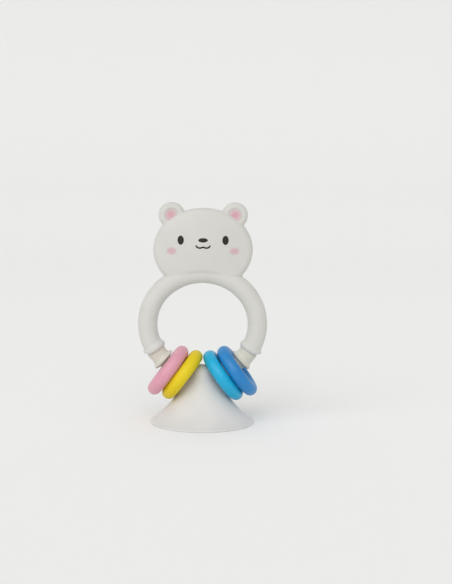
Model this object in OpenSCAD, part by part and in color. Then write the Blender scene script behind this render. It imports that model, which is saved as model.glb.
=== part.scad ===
// Suction-base teething ring: a bear-headed silicone arch closed by a plastic bar
// that carries four loose rings and turns in the eyelet of a conical suction cup.
// X runs along the bar, the face looks towards -Y, Z is up, the cup stands on Z = 0.

/* [Arch] */
// Half width of the oval, at the middle of the tube
oval_half_w = 37.3; // [36.9:0.1:37.6]
// Half height of the oval, at the middle of the tube
oval_half_h = 34.7; // [34.4:0.1:35]
// Height of the oval's centre above the table
oval_z = 67.7; // [67.5:0.1:68]
// Radius of the silicone tube
arch_r = 6.6; // [6.3:0.1:6.8]
// Radius of the lip at each end of the silicone tube
lip_r = 7.9; // [7.6:0.1:8.1]

/* [Head] */
// Half width of the head
head_half_w = 33.6; // [33:0.1:34.5]
// Half height of the head's oval
head_half_h = 28.25; // [27.5:0.05:28.6]
// Height of the head's centre
head_z = 118.4; // [118:0.1:119.4]
// Half thickness of the head at its middle
head_half_t = 8.8; // [8:0.1:10]
// Radius of the head's rounded edge
head_edge_r = 5.4; // [5.3:0.05:5.45]
// Outer radius of an ear
ear_r = 8.8; // [8.5:0.05:9.3]
// Sideways distance of each ear's centre
ear_x = 21.3; // [20.5:0.1:22]
// Height of each ear's centre
ear_z = 141.7; // [141:0.1:142.5]

/* [Bar and collars] */
// Radius of the plastic bar
bar_r = 5.2; // [4.8:0.1:5.6]
// Radius of the plain journal in the cup's eyelet
journal_r = 3.0; // [2.6:0.1:3.2]
// Radius of the plug that enters each end of the arch
plug_r = 4.0; // [3.5:0.1:4.2]
// Radius of the waist of a collar
collar_r = 6.3; // [6.1:0.1:6.6]
// Radius of a collar's flange
flange_r = 8.1; // [7.8:0.05:8.15]

/* [Rings] */
// Radius from a ring's centre to the middle of its section
ring_mid_r = 15.3; // [15.25:0.05:15.35]
// Radius of a ring's round section
ring_tube_r = 4.6; // [4.4:0.05:4.65]

/* [Suction cup] */
// Radius of the cup's rim
cup_r = 35.65; // [35:0.05:36.2]
// Height of the dome that holds the eyelet
cup_h = 40.0; // [39.7:0.1:40.2]
// Depth of the hollow under the cup
hollow_h = 9.5; // [6:0.1:11]
// Radius of the flat sealing land's inner edge
land_r = 33.0; // [31:0.1:33.5]

/* [Hidden] */
$fn = 96;

WHITE = [0.85, 0.84, 0.82];
CREAM = [0.88, 0.86, 0.81];
DARK = [0.17, 0.16, 0.13];
BLUSH = [0.89, 0.74, 0.76];
EAR_PINK = [0.87, 0.64, 0.69];
CUP_WHITE = [0.87, 0.86, 0.84];

// The oval is four tangent arcs that meet at 45 degrees: two side arcs and two longer
// ones above and below. arc_shift is how far each arc's centre lies from the oval's.
// A ball of the tube's own radius closes each joint between two arcs.
arc_shift = (oval_half_w - oval_half_h) / (2 - sqrt(2));
side_arc_r = oval_half_w - arc_shift;
long_arc_r = oval_half_h + arc_shift;
join_a = 45;
join_gap = 0.5;

// Places along the oval, in degrees below the horizontal.
plug_a = 35;
lip_end_a = 33;
flange_end_a = 49.2;
bar_start_a = 49.4;
ball_a = 69.1;

lip_l = 3.4;
lip_edge_r = 1.3;
flange_l = 3.2;
flange_edge_r = 1.2;
barb_r = 0.6;
barb_up = 5.0;
barb_l = 1.8;
plug_up = 8.2;
plug_down = 9;
press_gap = 0.05;
running_gap = 0.05;
journal_z = oval_z - oval_half_h + 0.6;
journal_half_l = 13.3;

inlay_t = 0.9;
ear_rim_r = 3.2;
ear_web_half_t = 2.9;
ear_pocket_r = 4.2;
ear_floor_y = 2.0;
crease_gap = 0.6;

// Face parts: [x, z, half width, half height]
EYE = [15.0, 125.3, 2.1, 3.05];
NOSE = [0, 125.3, 3.2, 1.45];
CHEEK = [21.1, 118.05, 3.45, 2.6];

// Each half of the mouth is an arc from the middle line to its lowest point, at
// x = mouth_x, and a tighter arc that runs on up to the corner.
mouth_in_r = 4.75;
mouth_out_r = 2.45;
mouth_x = 2.4;
mouth_low_z = 120.15;
mouth_line_w = 0.96;
mouth_mid_a = -acos(-mouth_x / mouth_in_r);
mouth_out_a = -28;
mouth_end_r = 0.46;
mouth_peak_r = 0.5;
mouth_lap_a = 4;

// The front of the head is part of a large sphere, tangent to the round edge.
edge_x = head_half_w - head_edge_r;
face_r = (edge_x * edge_x + head_half_t * head_half_t - head_edge_r * head_edge_r)
    / (2 * (head_half_t - head_edge_r));
function face_y(x, z) =
    head_half_t - (x * x + pow((z - head_z) * head_half_w / head_half_h, 2)) / (2 * face_r);

// Rings: [x, z, lean of the plane from upright, twist about the leaning diameter]
PINK_RING = [-23.3, 35.8, 37, 3];
YELLOW_RING = [-13.55, 32.85, 37, 3];
LIGHT_BLUE_RING = [14.3, 32.6, -36.8, 1];
BLUE_RING = [23.9, 35.75, -36.9, 1];

// Cup outline: a flared skirt, a straight cone through a known point, and a dome.
cone_slope = 53.9;
cone_x = 18.0;
cone_z = 18.5;
flare_z = 16;
flare_r = 63.5;
rim_r = 0.65;
dome_r = 7.7;
hollow_r = (land_r * land_r + hollow_h * hollow_h) / (2 * hollow_h);
function cone_at(z) = cone_x - (z - cone_z) / tan(cone_slope);

module both_sides() {
    children();
    mirror([1, 0, 0]) children();
}

// A stretch of round tube along an arc in the XZ plane.
module tube(x, z, arc_r, tube_r, from_a, to_a) {
    translate([x, 0, z]) rotate([90, 0, 0])
        rotate_extrude(angle = to_a - from_a, start = from_a)
            translate([arc_r, 0]) circle(r = tube_r);
}

module side_tube(tube_r, from_a, to_a) {
    tube(arc_shift, oval_z, side_arc_r, tube_r, from_a, to_a);
}

module lower_tube(tube_r, from_a, to_a) {
    tube(0, oval_z + arc_shift, long_arc_r, tube_r, from_a, to_a);
}

// Put children on the right-hand arcs, with their +Z pointing up along the oval.
module on_side(below_a) {
    translate([arc_shift + side_arc_r * cos(below_a), 0, oval_z - side_arc_r * sin(below_a)])
        rotate([0, below_a, 0]) children();
}

module on_lower(below_a) {
    translate([long_arc_r * cos(below_a), 0, oval_z + arc_shift - long_arc_r * sin(below_a)])
        rotate([0, below_a, 0]) children();
}

// A disc with a rounded edge, standing on Z = 0.
module round_disc(r, l, edge_r) {
    rotate_extrude() {
        square([r - edge_r, l]);
        translate([0, edge_r]) square([r, l - 2 * edge_r]);
        for (z = [edge_r, l - edge_r]) translate([r - edge_r, z]) circle(r = edge_r);
    }
}

// The straight barbed plug that joins the bar to the arch, or the hole for it.
module plug(extra) {
    on_side(plug_a) {
        translate([0, 0, -plug_down - extra])
            cylinder(r = plug_r + extra, h = plug_down + plug_up + 2 * extra);
        translate([0, 0, barb_up - extra])
            cylinder(r1 = plug_r + barb_r + extra, r2 = plug_r, h = barb_l + extra);
    }
}

// The head before its lower edge is trimmed: a domed disc with a round edge, made oval.
module pillow() {
    sphere_y = face_r - head_half_t;
    join_x = edge_x * face_r / (face_r - head_edge_r);
    translate([0, 0, head_z]) scale([1, 1, head_half_h / head_half_w]) rotate([90, 0, 0])
        rotate_extrude() {
            intersection() {
                translate([0, -sphere_y]) circle(r = face_r, $fn = 1440);
                translate([0, sphere_y]) circle(r = face_r, $fn = 1440);
                translate([0, -head_half_t]) square([join_x, 2 * head_half_t]);
            }
            translate([edge_x, 0]) circle(r = head_edge_r);
        }
}

// The head ends below just above the front line of the arch's tube.
module head() {
    difference() {
        pillow();
        translate([0, 0, oval_z - arc_shift]) rotate([90, 0, 0])
            cylinder(r = long_arc_r + crease_gap, h = 4 * head_half_t, center = true, $fn = 360);
    }
}

// The right ear's pocket, or the inlay in it when deep is the inlay's thickness.
module ear_disc(deep) {
    translate([ear_x, -ear_floor_y, ear_z]) rotate([90, 0, 0])
        cylinder(r = ear_pocket_r, h = deep);
}

module ear() {
    difference() {
        translate([ear_x, 0, ear_z]) rotate([90, 0, 0]) {
            rotate_extrude() translate([ear_r - ear_rim_r, 0]) circle(r = ear_rim_r);
            cylinder(r = ear_r - ear_rim_r, h = 2 * ear_web_half_t, center = true);
        }
        ear_disc(ear_rim_r);
    }
}

// Puts children on the front of the face with their +Z pointing straight out of it.
module on_face(x, z) {
    turn = atan(x / face_r);
    tilt = atan((z - head_z) * pow(head_half_w / head_half_h, 2) / face_r);
    translate([x, -face_y(x, z), z]) rotate([90 - tilt, 0, turn]) children();
}

// An inlay ends flush with the face; its pocket carries on out through the face.
module face_oval(part, past_face) {
    on_face(part[0], part[1]) translate([0, 0, -inlay_t])
        linear_extrude(height = inlay_t + past_face)
            scale([part[2], part[3]]) circle(r = 1);
}

// One arc of the mouth's line, drawn flat, lowest at the origin and mid_a to end_a round.
module mouth_arc(r, mid_a, end_a) {
    far = 2 * r;
    middle_a = (mid_a + end_a) / 2;
    translate([0, r]) intersection() {
        difference() {
            circle(r = r + mouth_line_w / 2);
            circle(r = r - mouth_line_w / 2);
        }
        polygon([
            [0, 0], [far * cos(mid_a), far * sin(mid_a)],
            [2 * far * cos(middle_a), 2 * far * sin(middle_a)],
            [far * cos(end_a), far * sin(end_a)]
        ]);
    }
}

// The right half of the mouth, with a round end.
module mouth_half() {
    translate([mouth_x, 0]) {
        mouth_arc(mouth_in_r, mouth_mid_a, -90 + mouth_lap_a);
        mouth_arc(mouth_out_r, -90 - mouth_lap_a, mouth_out_a);
        translate([mouth_out_r * cos(mouth_out_a), mouth_out_r * (1 + sin(mouth_out_a))])
            circle(r = mouth_end_r);
    }
}

module mouth_shape(past_face) {
    translate([0, inlay_t - head_half_t, mouth_low_z]) rotate([90, 0, 0])
        linear_extrude(height = inlay_t + past_face) {
            mouth_half();
            mirror([1, 0]) mouth_half();
            translate([0, mouth_in_r * (1 + sin(mouth_mid_a))]) circle(r = mouth_peak_r);
        }
}

module bear_body() {
    color(WHITE) difference() {
        union() {
            head();
            tube(0, oval_z - arc_shift, long_arc_r, arch_r,
                join_a + join_gap, 180 - join_a - join_gap);
            both_sides() {
                side_tube(arch_r, -lip_end_a, join_a - join_gap);
                on_side(-join_a) sphere(r = arch_r);
                on_side(lip_end_a) round_disc(lip_r, lip_l, lip_edge_r);
                ear();
            }
        }
        both_sides() {
            plug(press_gap);
            face_oval(EYE, inlay_t);
            face_oval(CHEEK, inlay_t);
        }
        face_oval(NOSE, inlay_t);
        mouth_shape(inlay_t);
    }
}

module left_eye() { mirror([1, 0, 0]) right_eye(); }
module right_eye() { color(DARK) face_oval(EYE, 0); }
module nose() { color(DARK) face_oval(NOSE, 0); }
module mouth() { color(DARK) mouth_shape(0); }
module left_cheek() { mirror([1, 0, 0]) right_cheek(); }
module right_cheek() { color(BLUSH) face_oval(CHEEK, 0); }

module left_ear_inlay() { mirror([1, 0, 0]) right_ear_inlay(); }
module right_ear_inlay() {
    color(EAR_PINK) difference() {
        ear_disc(inlay_t);
        head();
    }
}

// The bar: a straight journal between two ball-ended arcs, and a barbed plug at each end.
module lower_bar() {
    color(CREAM) {
        translate([0, 0, journal_z]) rotate([0, 90, 0])
            cylinder(r = journal_r, h = 2 * journal_half_l, center = true);
        both_sides() {
            lower_tube(bar_r, -ball_a, -bar_start_a);
            on_lower(ball_a) sphere(r = bar_r);
            plug(0);
        }
    }
}

module left_collar() { mirror([1, 0, 0]) right_collar(); }
module right_collar() {
    color(CREAM) difference() {
        union() {
            side_tube(collar_r, -join_a, -lip_end_a);
            on_lower(flange_end_a) round_disc(flange_r, flange_l, flange_edge_r);
        }
        plug(press_gap);
    }
}

module loose_ring(place) {
    translate([place[0], 0, place[1]]) rotate([0, place[2], 0]) rotate([0, 0, -place[3]])
        rotate([0, 90, 0]) rotate_extrude() translate([ring_mid_r, 0]) circle(r = ring_tube_r);
}

module pink_ring() { color([0.86, 0.60, 0.68]) loose_ring(PINK_RING); }
module yellow_ring() { color([0.89, 0.79, 0.16]) loose_ring(YELLOW_RING); }
module light_blue_ring() { color([0.12, 0.66, 0.85]) loose_ring(LIGHT_BLUE_RING); }
module blue_ring() { color([0.27, 0.53, 0.76]) loose_ring(BLUE_RING); }

// Half of the cup's section: cone, dome and rim, less the flare's arc and the hollow.
module cup_section() {
    flare_x = cone_at(flare_z) + flare_r * sin(cone_slope);
    flare_top = flare_z + flare_r * cos(cone_slope);
    difference() {
        union() {
            polygon([
                [0, 0], [cup_r - rim_r, 0], [cup_r - rim_r, flare_z],
                [cone_at(flare_z), flare_z], [cone_at(cup_h - dome_r), cup_h - dome_r],
                [0, cup_h - dome_r]
            ]);
            intersection() {
                translate([0, cup_h - dome_r]) circle(r = dome_r);
                square([dome_r, cup_h]);
            }
            translate([cup_r - rim_r, rim_r]) circle(r = rim_r);
        }
        translate([flare_x, flare_top]) circle(r = flare_r, $fn = 360);
        translate([0, hollow_h - hollow_r]) circle(r = hollow_r, $fn = 360);
    }
}

module suction_cup() {
    color(CUP_WHITE) difference() {
        rotate_extrude() cup_section();
        translate([0, 0, journal_z]) rotate([0, 90, 0])
            cylinder(r = journal_r + running_gap, h = 2 * cup_h, center = true);
    }
}

bear_body();
left_eye();
right_eye();
nose();
mouth();
left_cheek();
right_cheek();
left_ear_inlay();
right_ear_inlay();
lower_bar();
left_collar();
right_collar();
pink_ring();
yellow_ring();
light_blue_ring();
blue_ring();
suction_cup();
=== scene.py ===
import math

import bpy
import numpy as np
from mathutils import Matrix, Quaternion, Vector


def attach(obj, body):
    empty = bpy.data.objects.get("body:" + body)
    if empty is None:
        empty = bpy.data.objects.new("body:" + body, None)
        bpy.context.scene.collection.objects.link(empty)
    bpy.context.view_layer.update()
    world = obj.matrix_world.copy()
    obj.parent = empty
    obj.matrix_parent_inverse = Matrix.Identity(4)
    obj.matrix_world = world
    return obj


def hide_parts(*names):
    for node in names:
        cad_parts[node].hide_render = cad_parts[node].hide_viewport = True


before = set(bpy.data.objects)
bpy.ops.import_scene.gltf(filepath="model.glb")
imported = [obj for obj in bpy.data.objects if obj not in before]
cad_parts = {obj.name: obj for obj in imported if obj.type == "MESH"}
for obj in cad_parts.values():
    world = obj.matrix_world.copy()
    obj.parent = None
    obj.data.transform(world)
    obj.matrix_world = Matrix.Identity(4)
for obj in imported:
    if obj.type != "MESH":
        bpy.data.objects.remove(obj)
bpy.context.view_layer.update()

# Suction-base teething ring. Shapes are worked out in millimetres, in the CAD's frame:
# X along the bar, the face looks towards -Y, Z up. Blender holds them in metres.
MM = 0.001

# ---------------------------------------------------------------- dimensions, as in the CAD
# Lengths are in millimetres, with X and Z counted from the middle of the cup's foot.
OVAL_HALF_W, OVAL_HALF_H, OVAL_Z = 37.3, 34.7, 67.7
ARCH_R, LIP_R, LIP_L, LIP_EDGE_R = 6.6, 7.9, 3.4, 1.3
HEAD_HALF_W, HEAD_HALF_H, HEAD_Z = 33.6, 28.25, 118.4
HEAD_HALF_T, HEAD_EDGE_R = 8.8, 5.4
EAR_R, EAR_X, EAR_Z, EAR_RIM_R, EAR_WEB = 8.8, 21.3, 141.7, 3.2, 2.9
POCKET_R, POCKET_Y = 4.2, 2.0
RING_MID_R, RING_TUBE_R = 15.3, 4.6
CUP_R, CUP_H, HOLLOW_H, LAND_R = 35.65, 40.0, 9.5, 33.0
JOURNAL_Z, BORE_R = 33.6, 3.05

ARC_SHIFT = (OVAL_HALF_W - OVAL_HALF_H) / (2 - math.sqrt(2))
SIDE_R = OVAL_HALF_W - ARC_SHIFT
LONG_R = OVAL_HALF_H + ARC_SHIFT
# Angles below the horizontal where the arch ends in its lip and where the oval's arcs meet.
LIP_END, JOIN = math.radians(33), math.radians(45)
CREASE_GAP = 0.6

# Face parts: centre x and z, half width, half height.
EYE = (15.0, 125.3, 2.1, 3.05)
NOSE = (0.0, 125.3, 3.2, 1.45)
CHEEK = (21.1, 118.05, 3.45, 2.6)
# Each half of the mouth is two arcs that meet at its lowest point.
MOUTH_IN_R, MOUTH_OUT_R, MOUTH_X, MOUTH_LOW_Z, MOUTH_HALF_LINE = 4.75, 2.45, 2.4, 120.15, 0.54
MOUTH_OUT = math.radians(-28)

# Each ring's centre (x, z), the lean of its plane and its twist, in degrees.
RINGS = {
    "pink": (-23.3, 35.8, 37.0, 3.0),
    "yellow": (-13.55, 32.85, 37.0, 3.0),
    "light_blue": (14.3, 32.6, -36.8, 1.0),
    "blue": (23.9, 35.75, -36.9, 1.0),
}

# The cup is a cone down to the flare, an arc that spreads to the rim.
CONE_SLOPE = math.radians(53.9)
CONE_X, CONE_Z, FLARE_Z, FLARE_R, RIM_R, DOME_R = 18.0, 18.5, 16.0, 63.5, 0.65, 7.7


# ---------------------------------------------------------------- solids as distance fields
def smooth_min(a, b, k):
    """The nearer of two surfaces, with a fillet about k wide where they meet."""
    h = np.clip(0.5 + 0.5 * (b - a) / k, 0, 1)
    return b + (a - b) * h - k * h * (1 - h)


def smooth_max(a, b, k):
    """What two solids share, with an edge rounded over about k."""
    return -smooth_min(-a, -b, k)


def oval_distance(x, z):
    """Distance in the XZ plane to the arch's centre line, which ends at the lips."""
    x = np.abs(x)
    top_z = z - (OVAL_Z - ARC_SHIFT)
    top = np.abs(np.hypot(x, top_z) - LONG_R)
    turn = np.clip(np.arctan2(z - OVAL_Z, x - ARC_SHIFT), -LIP_END, JOIN)
    side = np.hypot(
        x - ARC_SHIFT - SIDE_R * np.cos(turn), z - OVAL_Z - SIDE_R * np.sin(turn)
    )
    return np.where(top_z > x, top, side)


def lip_coordinates(x, z):
    """Along the oval and across it, from the lower end of the arch."""
    dx = np.abs(x) - ARC_SHIFT - SIDE_R * math.cos(LIP_END)
    dz = z - OVAL_Z + SIDE_R * math.sin(LIP_END)
    along = dx * math.sin(LIP_END) + dz * math.cos(LIP_END)
    across = dx * math.cos(LIP_END) - dz * math.sin(LIP_END)
    return along, across


def pillow(x, y, z):
    """The head: an oval plate with softly domed faces and a round edge."""
    edge_x = HEAD_HALF_W - HEAD_EDGE_R
    face_r = (edge_x**2 + HEAD_HALF_T**2 - HEAD_EDGE_R**2) / (2 * (HEAD_HALF_T - HEAD_EDGE_R))
    centre_y = face_r - HEAD_HALF_T
    r = np.hypot(x, (z - HEAD_Z) * HEAD_HALF_W / HEAD_HALF_H)
    a = np.abs(y)
    beyond = r * centre_y > (a + centre_y) * edge_x
    face = np.hypot(r, a + centre_y) - face_r
    edge = np.hypot(r - edge_x, a) - HEAD_EDGE_R
    return np.where(beyond, edge, face)


def ear(x, y, z):
    """Both ears: a round rim, a web inside it and a pocket in the front."""
    u = np.hypot(np.abs(x) - EAR_X, z - EAR_Z)
    mid = EAR_R - EAR_RIM_R
    rim = np.hypot(u - mid, y) - EAR_RIM_R
    web = np.maximum(u - mid, np.abs(y) - EAR_WEB)
    pocket = np.maximum(u - POCKET_R, y + POCKET_Y)
    return smooth_max(smooth_min(rim, web, 0.5), -pocket, 1.1)


def bear(p):
    """Head, ears, tube and lips, run together with moulded fillets."""
    x, y, z = p.T
    head_cut = LONG_R + CREASE_GAP - np.hypot(x, z - (OVAL_Z - ARC_SHIFT))
    head = smooth_max(pillow(x, y, z), head_cut, 3.0)
    tube = np.hypot(oval_distance(x, z), y) - ARCH_R
    along, across = lip_coordinates(x, z)
    tube = smooth_max(tube, -along, 0.4)
    half_l = LIP_L / 2
    q = np.hypot(across, y) - (LIP_R - LIP_EDGE_R)
    s = np.abs(along - half_l) - (half_l - LIP_EDGE_R)
    outside = np.hypot(np.maximum(q, 0), np.maximum(s, 0))
    lip = np.minimum(np.maximum(q, s), 0) + outside - LIP_EDGE_R
    tube = smooth_min(tube, lip, 2.2)
    return smooth_min(smooth_min(head, ear(x, y, z), 1.0), tube, 0.9)


def oval_outline(centre_x, part):
    """Distance to the outline of an eye, nose or cheek, negative inside."""
    def inside(x, z):
        reach = np.hypot((x - centre_x) / part[2], (z - part[1]) / part[3])
        return (reach - 1) * min(part[2], part[3])

    return inside


def mouth_outline(x, z):
    """Distance to the line of two arcs, less half its width."""
    x = np.abs(x) - MOUTH_X
    mid = -math.acos(-MOUTH_X / MOUTH_IN_R)
    away = []
    for r, low, high in ((MOUTH_IN_R, mid, -math.pi / 2), (MOUTH_OUT_R, -math.pi / 2, MOUTH_OUT)):
        up = z - MOUTH_LOW_Z - r
        turn = np.arctan2(up, x)
        turn = np.clip(np.where(turn > math.pi / 2, turn - 2 * math.pi, turn), low, high)
        away.append(np.hypot(x - r * np.cos(turn), up - r * np.sin(turn)))
    return np.minimum(*away) - MOUTH_HALF_LINE


def face_inlay(outline, proud, depth, edge):
    """A plug let into the face: its front follows the face, proud of it by a hair."""

    def field(p):
        skin = bear(p)
        plate = smooth_max(outline(p[:, 0], p[:, 2]), skin - proud, edge)
        return np.maximum(plate, -depth - skin)

    return field


EAR_PAD_LAP, EAR_PAD_FRONT, EAR_PAD_BACK, EAR_PAD_DISH = 0.25, 2.45, 1.6, 0.35


def ear_inlay(side):
    """The pink pad at the bottom of an ear's pocket, a little dished."""

    def field(p):
        u = np.hypot(p[:, 0] - side * EAR_X, p[:, 2] - EAR_Z)
        dish = EAR_PAD_DISH * (u / POCKET_R) ** 2
        plate = smooth_max(u - POCKET_R - EAR_PAD_LAP, -p[:, 1] - EAR_PAD_FRONT - dish, 0.3)
        return np.maximum(plate, p[:, 1] + EAR_PAD_BACK)

    return field


def cup(p):
    """The suction cup: cone, flare, rim and dome, less the hollow and the bar's eyelet."""
    x, y, z = p.T
    r = np.hypot(x, y)
    tan, sin, cos = math.tan(CONE_SLOPE), math.sin(CONE_SLOPE), math.cos(CONE_SLOPE)
    cone = (r - CONE_X + (z - CONE_Z) / tan) * sin
    join_x = CONE_X - (FLARE_Z - CONE_Z) / tan
    flare_x, flare_top = join_x + FLARE_R * sin, FLARE_Z + FLARE_R * cos
    flare = FLARE_R - np.hypot(r - flare_x, z - flare_top)
    upper = (z - FLARE_Z) * sin > (r - join_x) * cos
    side = np.maximum(np.where(upper, cone, flare), r - (CUP_R - RIM_R))
    dome_z = CUP_H - DOME_R
    side = smooth_max(side, z - dome_z, 0.5)
    dome = np.hypot(r, z - dome_z) - DOME_R
    rim = smooth_max(np.hypot(r - (CUP_R - RIM_R), z - RIM_R) - RIM_R, flare, 0.5)
    solid = smooth_min(smooth_min(side, dome, 2.0), rim, 0.9)
    hollow_r = (LAND_R**2 + HOLLOW_H**2) / (2 * HOLLOW_H)
    hollow = np.hypot(r, z - HOLLOW_H + hollow_r) - hollow_r
    bore = np.hypot(y, z - JOURNAL_Z) - BORE_R
    solid = np.maximum(smooth_max(solid, -hollow, 0.3), -z)
    return smooth_max(solid, -bore, 0.9)


# ---------------------------------------------------------------- meshes from fields
CORNERS = [(i, j, k) for i in (0, 1) for j in (0, 1) for k in (0, 1)]
EDGES = [(a, b) for a in CORNERS for b in CORNERS
         if sum(b) - sum(a) == 1 and all(m <= n for m, n in zip(a, b))]
STEPS_TO_SURFACE = 4
PROBE = 0.01  # millimetres
CHUNK = 400000  # grid points worked out at a time
FLAT = 0.05  # least squared slope that a step towards the surface divides by


def gradient(field, p):
    """Slope of a field at each point, from its values on both sides."""
    g = np.empty_like(p)
    for axis in range(3):
        d = np.zeros(3)
        d[axis] = PROBE
        g[:, axis] = (field(p + d) - field(p - d)) / (2 * PROBE)
    return g


def field_mesh(field, low, high, step):
    """Surface net of a field's zero level, its corners then moved onto the surface."""
    axes = [np.arange(a - step, b + 2 * step, step) for a, b in zip(low, high)]
    shape = tuple(len(a) for a in axes)
    grid = np.stack(np.meshgrid(*axes, indexing="ij"), -1).reshape(-1, 3)
    value = np.concatenate([field(grid[i:i + CHUNK]) for i in range(0, len(grid), CHUNK)])
    value = value.reshape(shape)
    cells = tuple(n - 1 for n in shape)

    def corner(array, c):
        return array[c[0]:c[0] + cells[0], c[1]:c[1] + cells[1], c[2]:c[2] + cells[2]]

    total, count = np.zeros(cells + (3,)), np.zeros(cells)
    for a, b in EDGES:
        va, vb = corner(value, a), corner(value, b)
        cross = (va < 0) != (vb < 0)
        t = np.where(cross, va / np.where(cross, va - vb, 1), 0)
        for axis in range(3):
            total[..., axis] += cross * (a[axis] + t * (b[axis] - a[axis]))
        count += cross
    used = count > 0
    index = np.full(cells, -1)
    index[used] = np.arange(used.sum())
    where = np.argwhere(used)
    points = (where + total[used] / count[used][:, None]) * step + [a[0] for a in axes]

    quads = []
    for axis in range(3):
        one, two = (axis + 1) % 3, (axis + 2) % 3
        ahead = np.zeros(3, int)
        ahead[axis] = 1
        first = value[:-1, :-1, :-1] < 0
        second = corner(value, ahead) < 0
        cells_at = np.argwhere(first != second)
        cells_at = cells_at[(cells_at[:, one] > 0) & (cells_at[:, two] > 0)]
        outward = first[tuple(cells_at.T)]
        d1, d2 = np.zeros(3, int), np.zeros(3, int)
        d1[one], d2[two] = 1, 1
        ring = [cells_at, cells_at - d1, cells_at - d1 - d2, cells_at - d2]
        quad = np.stack([index[tuple(c.T)] for c in ring], 1)
        quads.append(np.where(outward[:, None], quad, quad[:, ::-1]))
    faces = np.concatenate(quads)

    for _ in range(STEPS_TO_SURFACE):
        g = gradient(field, points)
        points -= g * (field(points) / np.maximum((g**2).sum(1), FLAT))[:, None]
    return points, faces


def add_mesh(name, points, faces, material, body, nodes):
    """A piece of the visual model that takes the place of its CAD nodes."""
    mesh = bpy.data.meshes.new(name)
    mesh.from_pydata((np.asarray(points) * MM).tolist(), [], [list(map(int, f)) for f in faces])
    mesh.validate()
    mesh.shade_smooth()
    mesh.materials.append(material)
    piece = bpy.data.objects.new(name, mesh)
    bpy.context.scene.collection.objects.link(piece)
    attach(piece, body)
    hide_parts(*nodes)


def add_field(name, field, low, high, step, material, body, nodes):
    """The same for a solid given as a field, meshed between two corners of a box."""
    points, faces = field_mesh(field, low, high, step)
    add_mesh(name, points, faces, material, body, nodes)


def grid_faces(rows, columns, closed_rows):
    """Quads over a grid of points whose columns run round."""
    faces = []
    for i in range(rows if closed_rows else rows - 1):
        a, b = i * columns, (i + 1) % rows * columns
        for j in range(columns):
            k = (j + 1) % columns
            faces.append((a + j, a + k, b + k, b + j))
    return faces


# ---------------------------------------------------------------- materials
def node(tree, kind, **values):
    """A new node, its inputs or properties set by name."""
    made = tree.nodes.new(kind)
    for key, value in values.items():
        if key in made.inputs:
            made.inputs[key].default_value = value
        else:
            setattr(made, key, value)
    return made


def faded(tree, place, colour, fade):
    """Mixes a colour into a rim colour away from a centre that both sides of the face share."""
    link = tree.links.new
    centre, radii, inner, outer, rim = fade
    apart = node(tree, "ShaderNodeSeparateXYZ")
    link(place, apart.inputs[0])
    mirrored = node(tree, "ShaderNodeMath", operation="ABSOLUTE")
    link(apart.outputs["X"], mirrored.inputs[0])
    joined = node(tree, "ShaderNodeCombineXYZ")
    link(mirrored.outputs[0], joined.inputs["X"])
    link(apart.outputs["Z"], joined.inputs["Z"])
    shift = node(tree, "ShaderNodeVectorMath", operation="SUBTRACT")
    link(joined.outputs[0], shift.inputs[0])
    shift.inputs[1].default_value = (centre[0] * MM, 0, centre[1] * MM)
    stretch = node(tree, "ShaderNodeVectorMath", operation="MULTIPLY")
    link(shift.outputs[0], stretch.inputs[0])
    stretch.inputs[1].default_value = (1 / (radii[0] * MM), 0, 1 / (radii[1] * MM))
    reach = node(tree, "ShaderNodeVectorMath", operation="LENGTH")
    link(stretch.outputs[0], reach.inputs[0])
    ramp = node(tree, "ShaderNodeMapRange", interpolation_type="SMOOTHSTEP",
                **{"From Min": inner, "From Max": outer})
    link(reach.outputs["Value"], ramp.inputs["Value"])
    blend = node(tree, "ShaderNodeMix", data_type="RGBA")
    link(ramp.outputs["Result"], blend.inputs[0])
    link(colour, blend.inputs[6])
    blend.inputs[7].default_value = (*rim, 1)
    return blend.outputs[2]


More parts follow.
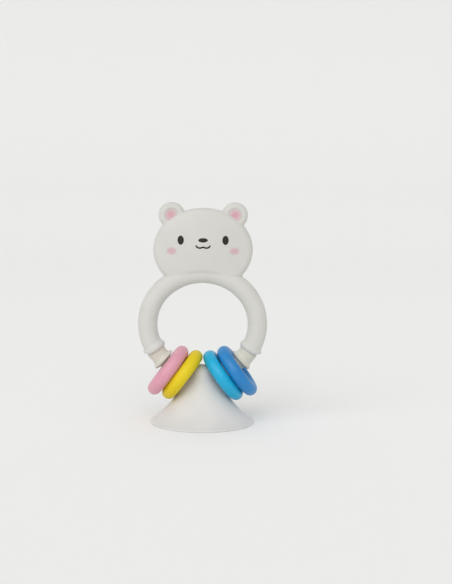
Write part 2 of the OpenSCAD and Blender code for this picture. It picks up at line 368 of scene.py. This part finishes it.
def moulded(name, colour, shade, roughness, depth, scatter, specular, crease_shade=0.93, fade=None,
            glow=0.25):
    """Moulded silicone or plastic: clouded colour, uneven sheen, fine skin.

    colour and shade are the two ends of the clouding, roughness a (low, high) pair,
    depth the height of the skin's texture and scatter how far light carries inside,
    both in metres. crease is the factor the colour is multiplied by in hollows: painted shade.
    fade is (centre, radii, inner, outer, rim colour) of a tint that runs out softly, and
    glow is the share of the light that scatters inside.
    """
    material = bpy.data.materials.new(name)
    material.use_nodes = True
    tree = material.node_tree
    link = tree.links.new
    shader = tree.nodes["Principled BSDF"]
    place = node(tree, "ShaderNodeTexCoord").outputs["Object"]

    cloud = node(tree, "ShaderNodeTexNoise", Scale=55.0, Detail=3.0, Roughness=0.55)
    link(place, cloud.inputs["Vector"])
    tint = node(tree, "ShaderNodeMix", data_type="RGBA")
    tint.inputs[6].default_value = (*shade, 1)
    tint.inputs[7].default_value = (*colour, 1)
    spread = node(tree, "ShaderNodeMapRange", **{"From Min": 0.32, "From Max": 0.68})
    link(cloud.outputs["Fac"], spread.inputs["Value"])
    link(spread.outputs["Result"], tint.inputs[0])

    # Painted shade: the colour darkens in hollows and folds, found by the mesh's pointiness.
    hollow = node(tree, "ShaderNodeMapRange",
                  **{"From Min": 0.44, "From Max": 0.5, "To Min": crease_shade, "To Max": 1.0})
    link(node(tree, "ShaderNodeNewGeometry").outputs["Pointiness"], hollow.inputs["Value"])
    painted_crease_shade = node(tree, "ShaderNodeVectorMath", operation="SCALE")
    tinted = faded(tree, place, tint.outputs[2], fade) if fade else tint.outputs[2]
    link(tinted, painted_crease_shade.inputs[0])
    link(hollow.outputs["Result"], painted_crease_shade.inputs["Scale"])
    link(painted_crease_shade.outputs["Vector"], shader.inputs["Base Color"])

    handled = node(tree, "ShaderNodeTexNoise", Scale=130.0, Detail=4.0, Roughness=0.6)
    link(place, handled.inputs["Vector"])
    gloss = node(tree, "ShaderNodeMapRange", **{"From Min": 0.3, "From Max": 0.7,
                 "To Min": roughness[0], "To Max": roughness[1]})
    link(handled.outputs["Fac"], gloss.inputs["Value"])
    link(gloss.outputs["Result"], shader.inputs["Roughness"])

    skin = node(tree, "ShaderNodeTexNoise", Scale=1800.0, Detail=3.0, Roughness=0.6)
    link(place, skin.inputs["Vector"])
    ripple = node(tree, "ShaderNodeTexNoise", Scale=160.0, Detail=1.0)
    link(place, ripple.inputs["Vector"])
    fine = node(tree, "ShaderNodeBump", Strength=1.0, Distance=depth)
    link(skin.outputs["Fac"], fine.inputs["Height"])
    broad = node(tree, "ShaderNodeBump", Strength=1.0, Distance=4 * depth)
    link(ripple.outputs["Fac"], broad.inputs["Height"])
    link(fine.outputs["Normal"], broad.inputs["Normal"])
    link(broad.outputs["Normal"], shader.inputs["Normal"])

    shader.inputs["Specular IOR Level"].default_value = specular
    shader.inputs["Subsurface Weight"].default_value = glow if scatter else 0.0
    shader.inputs["Subsurface Radius"].default_value = (1.0, 0.93, 0.88)
    shader.inputs["Subsurface Scale"].default_value = scatter
    return material


def linear(r, g, b):
    """Linear colour from the 0 to 255 values that a screen shows."""
    return tuple(((c / 255 + 0.055) / 1.055) ** 2.4 if c > 10 else c / 3295 for c in (r, g, b))


# Skin depths and scattering lengths are in metres.
WHITE = moulded("white_silicone", linear(212, 211, 206), linear(208, 207, 201),
                roughness=(0.50, 0.60), depth=0.000006, scatter=0.0015, specular=0.35)
CUP_WHITE = moulded("cup_silicone", linear(223, 221, 218), linear(219, 217, 214),
                    roughness=(0.52, 0.62), depth=0.000006, scatter=0.006, specular=0.35,
                    glow=0.6)
# The cream plastic gets a deeper painted shade in its hollows.
CREAM = moulded("cream_plastic", linear(216, 214, 202), linear(212, 209, 196),
                roughness=(0.38, 0.48), depth=0.000004, scatter=0.0006, specular=0.45,
                crease_shade=0.85)
DARK = moulded("dark_silicone", linear(38, 36, 27), linear(31, 29, 23),
               roughness=(0.46, 0.56), depth=0.000004, scatter=0.0, specular=0.35)
BLUSH_FADE = (CHEEK[:2], (4.3, 2.9), 0.25, 1.2, linear(210, 208, 203))
BLUSH = moulded("blush_silicone", linear(211, 178, 182), linear(208, 172, 177),
                roughness=(0.5, 0.6), depth=0.000004, scatter=0.0008, specular=0.35,
                fade=BLUSH_FADE)
EAR_FADE = ((EAR_X + 0.3, EAR_Z + 0.1), (4.2, 4.3), 0.05, 1.28, linear(212, 204, 199))
EAR_PINK = moulded("ear_pink_silicone", linear(216, 167, 177), linear(213, 161, 171),
                   roughness=(0.5, 0.6), depth=0.000004, scatter=0.0008, specular=0.35,
                   fade=EAR_FADE)
RING_SKIN = {"depth": 0.000005, "scatter": 0.001}
RING_LOOKS = {
    "pink": moulded("pink_silicone", linear(223, 160, 176), linear(219, 153, 171),
                    roughness=(0.36, 0.46), specular=0.6, **RING_SKIN),
    "yellow": moulded("yellow_silicone", linear(228, 205, 8), linear(224, 198, 6),
                      roughness=(0.46, 0.58), specular=0.4, **RING_SKIN),
    "light_blue": moulded("light_blue_silicone", linear(3, 175, 217), linear(2, 168, 213),
                          roughness=(0.34, 0.44), specular=0.52, **RING_SKIN),
    "blue": moulded("blue_silicone", linear(26, 134, 199), linear(12, 124, 193),
                    roughness=(0.34, 0.44), specular=0.58, **RING_SKIN),
}

# ---------------------------------------------------------------- the bear
BODY_STEP = 0.5
INLAY_STEP, EAR_PAD_STEP = 0.1, 0.25
# How far a face part stands out of the skin and goes into it, and how its rim is rounded.
INLAY_PROUD, INLAY_DEPTH, INLAY_EDGE = 0.06, 0.7, 0.06
# How far the boxes that the parts are meshed in reach past the skin and the outline.
INLAY_BEHIND, INLAY_AHEAD, INLAY_MARGIN = 1.7, 1.0, 0.3
EAR_PAD_BOX = 5
add_field("bear_arch", bear, (-44.5, -9.2, 48.0), (44.5, 9.2, 152.0), BODY_STEP,
          WHITE, "frame", ["bear_body"])


def add_inlay(name, outline, box, material, node_name):
    """A face part inside an (x, z) box, let into the head where its middle lies."""
    (x0, x1), (z0, z1) = box
    middle = np.array([[(x0 + x1) / 2, -HEAD_HALF_T, (z0 + z1) / 2]])
    skin_y = bear(middle)[0] - HEAD_HALF_T
    add_field(name, face_inlay(outline, INLAY_PROUD, INLAY_DEPTH, INLAY_EDGE),
              (x0, skin_y - INLAY_AHEAD, z0), (x1, skin_y + INLAY_BEHIND, z1),
              INLAY_STEP, material, "frame", [node_name])


def oval_box(centre_x, part):
    """The (x, z) box that an eye, nose or cheek is meshed in."""
    return ((centre_x - part[2] - INLAY_MARGIN, centre_x + part[2] + INLAY_MARGIN),
            (part[1] - part[3] - INLAY_MARGIN, part[1] + part[3] + INLAY_MARGIN))


for side, word in ((-1, "left"), (1, "right")):
    for part, kind, material, slot in (
        (EYE, "eye", DARK, "dark_silicone"),
        (CHEEK, "cheek", BLUSH, "blush_silicone"),
    ):
        centre = side * part[0]
        add_inlay(f"{word}_{kind}_inlay", oval_outline(centre, part), oval_box(centre, part),
                  material, f"{word}_{kind}")
    add_field(f"{word}_ear_pad", ear_inlay(side),
              (side * EAR_X - EAR_PAD_BOX, -4.2, EAR_Z - EAR_PAD_BOX),
              (side * EAR_X + EAR_PAD_BOX, -1.4, EAR_Z + EAR_PAD_BOX),
              EAR_PAD_STEP, EAR_PINK, "frame", [f"{word}_ear_inlay"])
add_inlay("nose_inlay", oval_outline(0.0, NOSE), oval_box(0.0, NOSE), DARK, "nose")
add_inlay("mouth_line", mouth_outline, ((-6.3, 6.3), (118.8, 123.2)), DARK, "mouth")

# ---------------------------------------------------------------- sleeves
# Radius along a sleeve, from the arch's lip down to the flange: (millimetres, radius).
SLEEVE = [(0.0, 5.7), (0.25, 6.1), (0.7, 6.35), (1.5, 6.32), (3.0, 6.2), (4.6, 6.16),
          (6.0, 6.3), (6.9, 6.7), (7.4, 7.25), (7.8, 7.74), (8.2, 8.02), (8.6, 8.1),
          (9.0, 8.0), (9.3, 7.75), (9.5, 7.4), (9.65, 6.9), (9.76, 6.2), (9.82, 5.4)]


def sleeve_point(s):
    """Place and angle on the right half of the oval, s millimetres below the lip."""
    side_l = SIDE_R * (JOIN - LIP_END)
    if s < side_l:
        a = LIP_END + s / SIDE_R
        at = (ARC_SHIFT + SIDE_R * math.cos(a), OVAL_Z - SIDE_R * math.sin(a))
    else:
        a = JOIN + (s - side_l) / LONG_R
        at = (LONG_R * math.cos(a), OVAL_Z + ARC_SHIFT - LONG_R * math.sin(a))
    return at, a


SLEEVE_ROWS, SLEEVE_SEGMENTS = 64, 96
for side, word in ((-1, "left"), (1, "right")):
    along = np.linspace(0, SLEEVE[-1][0], SLEEVE_ROWS)
    radius = np.interp(along, *zip(*SLEEVE))
    points = []
    for s, r in zip(along, radius):
        (cx, cz), a = sleeve_point(s)
        for t in np.linspace(0, 2 * math.pi, SLEEVE_SEGMENTS, endpoint=False):
            out = r * math.cos(t)
            points.append((side * (cx + out * math.cos(a)), side * r * math.sin(t),
                           cz - out * math.sin(a)))
    faces = grid_faces(SLEEVE_ROWS, SLEEVE_SEGMENTS, False)
    last = (SLEEVE_ROWS - 1) * SLEEVE_SEGMENTS
    faces.append(tuple(range(SLEEVE_SEGMENTS))[::-1])
    faces.append(tuple(range(last, last + SLEEVE_SEGMENTS)))
    add_mesh(f"{word}_sleeve", points, faces, CREAM, "frame", [f"{word}_collar"])

# ---------------------------------------------------------------- loose rings
RING_ROWS, RING_SEGMENTS = 192, 96
# A fine moulding seam runs round the inside and the outside of each ring.
SEAM_H, SEAM_HALF_W = 0.05, 0.25


def turn_about(axis, degrees):
    c, s = math.cos(math.radians(degrees)), math.sin(math.radians(degrees))
    if axis == "Y":
        return np.array([[c, 0, s], [0, 1, 0], [-s, 0, c]])
    return np.array([[c, -s, 0], [s, c, 0], [0, 0, 1]])


for word, (cx, cz, lean, twist) in RINGS.items():
    turned = turn_about("Y", lean) @ turn_about("Z", -twist) @ turn_about("Y", 90)
    u = np.linspace(0, 2 * np.pi, RING_ROWS, endpoint=False)[:, None]
    v = np.linspace(0, 2 * np.pi, RING_SEGMENTS, endpoint=False)[None, :]
    seam = SEAM_H * np.exp(-((np.sin(v) * RING_TUBE_R / SEAM_HALF_W) ** 2))
    tube_r = RING_TUBE_R - SEAM_H + seam
    mid = RING_MID_R + tube_r * np.cos(v)
    local = np.stack([mid * np.cos(u), mid * np.sin(u), tube_r * np.sin(v) + 0 * u], -1)
    points = local.reshape(-1, 3) @ turned.T + [cx, 0, cz]
    faces = [f[::-1] for f in grid_faces(RING_ROWS, RING_SEGMENTS, True)]
    add_mesh(f"{word}_loop", points, faces, RING_LOOKS[word], word, [f"{word}_ring"])

# ---------------------------------------------------------------- cup and bar
add_field("suction_foot", cup, (-36.5, -36.5, -0.2), (36.5, 36.5, 40.5), BODY_STEP,
          CUP_WHITE, "cup", ["suction_cup"])

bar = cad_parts["lower_bar"]
bar.data.materials.clear()
bar.data.materials.append(CREAM)

# ---------------------------------------------------------------- floor, light, camera
# A sheet of paper that bends up into a wall, in metres.
FLOOR_FRONT, FLOOR_BACK, BEND_R, WALL_TOP, FLOOR_HALF_W = -2.5, 1.2, 0.9, 3.2, 4.0
BEND_POINTS = 24
profile = [(FLOOR_FRONT, 0.0), (FLOOR_BACK, 0.0)]
profile += [(FLOOR_BACK + BEND_R * math.sin(a), BEND_R - BEND_R * math.cos(a))
            for a in np.linspace(0, math.pi / 2, BEND_POINTS)[1:]]
profile.append((FLOOR_BACK + BEND_R, WALL_TOP))
verts = [(x, y, z) for y, z in profile for x in (-FLOOR_HALF_W, FLOOR_HALF_W)]
quads = [(2 * i, 2 * i + 1, 2 * i + 3, 2 * i + 2) for i in range(len(profile) - 1)]
sweep = bpy.data.meshes.new("sweep")
sweep.from_pydata(verts, [], quads)
sweep.shade_smooth()
# Grey of the paper along the sweep, from below the toy (0) to the wall (1), so that the floor,
# the bend and the wall come out alike.
WASH = ((0.0, 0.95), (0.3, 0.92), (0.571, 0.885), (0.702, 0.832), (0.78, 0.80), (1.0, 0.775))
BLUE_SHARE = 0.99
paper = bpy.data.materials.new("paper")
paper.use_nodes = True
tree = paper.node_tree
matte = tree.nodes["Principled BSDF"]
matte.inputs["Roughness"].default_value = 0.9
matte.inputs["Specular IOR Level"].default_value = 0.1
apart = node(tree, "ShaderNodeSeparateXYZ")
run = node(tree, "ShaderNodeMapRange", **{"From Min": 0.0, "From Max": FLOOR_BACK + BEND_R})
wash = node(tree, "ShaderNodeValToRGB")
stops = wash.color_ramp.elements
stops.remove(stops[1])
for place, grey in WASH:
    stop = stops.new(place) if place else stops[0]
    stop.color = (grey, grey, grey * BLUE_SHARE, 1)
tree.links.new(node(tree, "ShaderNodeTexCoord").outputs["Object"], apart.inputs[0])
tree.links.new(apart.outputs["Y"], run.inputs["Value"])
tree.links.new(run.outputs["Result"], wash.inputs[0])
tree.links.new(wash.outputs[0], matte.inputs["Base Color"])
sweep.materials.append(paper)
floor = bpy.data.objects.new("floor", sweep)
bpy.context.scene.collection.objects.link(floor)


def soft_light(name, towards, strength, spread):
    """A distant softbox in a direction, its spread in degrees."""
    light = bpy.data.lights.new(name, "SUN")
    light.energy = strength
    light.angle = math.radians(spread)
    lamp = bpy.data.objects.new(name, light)
    lamp.rotation_euler = Vector(towards).to_track_quat("Z", "Y").to_euler()
    bpy.context.scene.collection.objects.link(lamp)


soft_light("key", (-0.50, -0.66, 0.57), strength=0.83, spread=50)
soft_light("front", (0.0, -0.80, 0.60), strength=0.54, spread=40)
soft_light("fill", (0.50, -0.60, 0.62), strength=0.16, spread=80)

world = bpy.data.worlds.new("studio")
bpy.context.scene.world = world
world.use_nodes = True
surround = world.node_tree.nodes["Background"]
surround.inputs["Color"].default_value = (1, 1, 1, 1)
surround.inputs["Strength"].default_value = 0.56

# The toy stands left of and below the middle of the photo, which the lens shift follows.
CAMERA_AT = Vector((0.0, -0.860, 0.185))
CAMERA_AIM = Vector((0.0, 0.0, 0.072))
CAMERA_ROLL = math.radians(0.38)
lens = bpy.data.cameras.new("camera")
lens.lens = 78.63
lens.sensor_width = 36.0
lens.shift_x = 0.0401
lens.shift_y = 0.0442
lens.clip_start = 0.01
camera = bpy.data.objects.new("camera", lens)
camera.location = CAMERA_AT
level = (CAMERA_AIM - CAMERA_AT).to_track_quat("-Z", "Y")
camera.rotation_euler = (level @ Quaternion((0, 0, 1), CAMERA_ROLL)).to_euler()
bpy.context.scene.collection.objects.link(camera)
bpy.context.scene.camera = camera
bpy.context.scene.view_settings.view_transform = "Standard"
